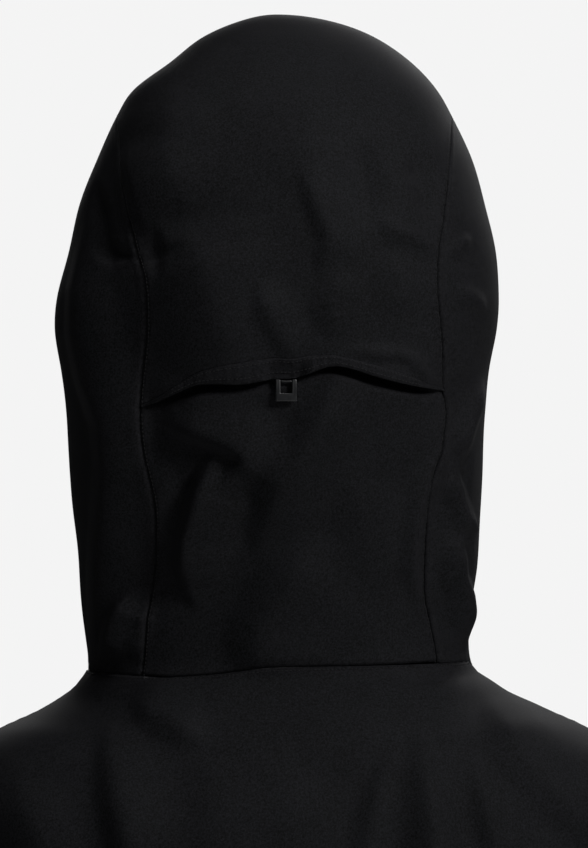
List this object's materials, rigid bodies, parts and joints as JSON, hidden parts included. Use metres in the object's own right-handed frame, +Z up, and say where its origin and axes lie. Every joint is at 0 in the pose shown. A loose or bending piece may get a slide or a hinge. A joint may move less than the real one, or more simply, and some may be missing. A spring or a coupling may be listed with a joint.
{
  "type": "hardshell jacket",
  "caption": "Hooded waterproof mountain jacket, worn shape, hood up, with a full-length front zip, pocket zips, cuff tabs and a rear hood adjuster.",
  "frame": {"origin": "middle of the neck at the neck seam, where the wearer's neck and shoulders hold the jacket up", "axes": "+Z up towards the crown of the hood, +Y forward out of the front zip, +X to the wearer's right"},
  "size_m": [0.8272, 0.3107, 1.139],
  "materials": {
    "shell": "matte black three-layer laminate, fine plain weave",
    "lining": "dark grey tricot facing",
    "tape": "black woven tape",
    "coil": "black polyester coil and hook",
    "plastic": "dark grey moulded plastic, slightly glossy",
    "metal": "black coated zinc",
    "cord": "black braided elastic cord"
  },
  "bodies": {
    "jacket": {"hood_crown_panel": "shell", "hood_nape_panel": "shell", "hood_side_left": "shell", "hood_side_right": "shell", "collar_left": "shell", "collar_right": "shell", "slit_lip": "shell", "hood_brim": "shell", "back_panel": "shell", "front_left": "shell", "front_right": "shell", "side_panel_left": "shell", "side_panel_right": "shell", "sleeve_outer_left": "shell", "sleeve_outer_right": "shell", "sleeve_under_left": "shell", "sleeve_under_right": "shell", "cuff_left": "shell", "cuff_right": "shell", "slit_backing": "lining", "face_binding": "lining", "hang_loop": "lining", "zip_storm_flap": "lining", "chin_guard": "lining", "hem_facing": "lining", "hand_pocket_bag_left": "lining", "hand_pocket_bag_right": "lining", "chest_pocket_bag": "lining", "cuff_loop_pad_left": "lining", "cuff_loop_pad_right": "lining", "zip_tape_left": "tape", "zip_tape_right": "tape", "hand_zip_left_strip": "tape", "hand_zip_right_strip": "tape", "chest_zip_strip": "tape", "zip_coil_left": "coil", "zip_coil_right": "coil", "hood_cord_lock": "plastic", "zip_bottom_box": "plastic", "hem_eyelet_left": "metal", "hem_eyelet_right": "metal", "hood_cord": "cord"},
    "adjuster_tab": {"hood_adjuster_tab": "plastic"},
    "lock_button": {"hood_lock_button": "metal"},
    "cuff_tab_left": {"cuff_tab_left": "tape", "cuff_hook_pad_left": "coil"},
    "cuff_tab_right": {"cuff_tab_right": "tape", "cuff_hook_pad_right": "coil"},
    "main_zip_slider": {"main_zip_slider": "metal"},
    "main_zip_pull": {"main_zip_pull": "plastic"},
    "hand_zip_left_slider": {"hand_zip_left_slider": "metal"},
    "hand_zip_left_pull": {"hand_zip_left_pull": "plastic"},
    "hand_zip_right_slider": {"hand_zip_right_slider": "metal"},
    "hand_zip_right_pull": {"hand_zip_right_pull": "plastic"},
    "chest_zip_slider": {"chest_zip_slider": "metal"},
    "chest_zip_pull": {"chest_zip_pull": "plastic"}
  },
  "joints": [
    {"name": "main_zip_travel", "type": "slide", "parent": "jacket", "child": "main_zip_slider", "axis": [0, 0.0639, -0.998], "range_m": [0, 0.69]},
    {"name": "main_zip_pull_swing", "type": "hinge", "parent": "main_zip_slider", "child": "main_zip_pull", "pos_m": [0, 0.1064, 0.03923], "axis": [1, 0, 0], "range_deg": [0, 150]},
    {"name": "hand_zip_left_travel", "type": "slide", "parent": "jacket", "child": "hand_zip_left_slider", "axis": [0.004, 0.0536, -0.9986], "range_m": [0, 0.14]},
    {"name": "hand_zip_left_pull_swing", "type": "hinge", "parent": "hand_zip_left_slider", "child": "hand_zip_left_pull", "pos_m": [-0.12927, 0.11279, -0.41581], "axis": [0.9246, 0.3802, 0.0241], "range_deg": [0, 150]},
    {"name": "hand_zip_right_travel", "type": "slide", "parent": "jacket", "child": "hand_zip_right_slider", "axis": [-0.004, 0.0536, -0.9986], "range_m": [0, 0.14]},
    {"name": "hand_zip_right_pull_swing", "type": "hinge", "parent": "hand_zip_right_slider", "child": "hand_zip_right_pull", "pos_m": [0.12927, 0.11279, -0.41581], "axis": [0.9246, -0.3802, -0.0241], "range_deg": [0, 150]},
    {"name": "chest_zip_travel", "type": "slide", "parent": "jacket", "child": "chest_zip_slider", "axis": [0.0026, 0.0602, -0.9982], "range_m": [0, 0.12]},
    {"name": "chest_zip_pull_swing", "type": "hinge", "parent": "chest_zip_slider", "child": "chest_zip_pull", "pos_m": [-0.08459, 0.11298, -0.19076], "axis": [0.9835, 0.1804, 0.0135], "range_deg": [0, 150]},
    {"name": "adjuster_tab_swing", "type": "hinge", "parent": "jacket", "child": "adjuster_tab", "pos_m": [0.005, -0.11442, 0.17375], "axis": [-1, 0, 0], "range_deg": [0, 75]},
    {"name": "lock_button_press", "type": "slide", "parent": "jacket", "child": "lock_button", "axis": [0, -1, 0], "range_m": [0, 0.0018], "stiffness_N_per_m": 300},
    {"name": "cuff_tab_left_lift", "type": "hinge", "parent": "jacket", "child": "cuff_tab_left", "pos_m": [-0.36208, -0.017, -0.69216], "axis": [0.2079, 0, 0.9781], "range_deg": [0, 110]},
    {"name": "cuff_tab_right_lift", "type": "hinge", "parent": "jacket", "child": "cuff_tab_right", "pos_m": [0.36208, -0.017, -0.69216], "axis": [0.2079, 0, -0.9781], "range_deg": [0, 110]}
  ]
}
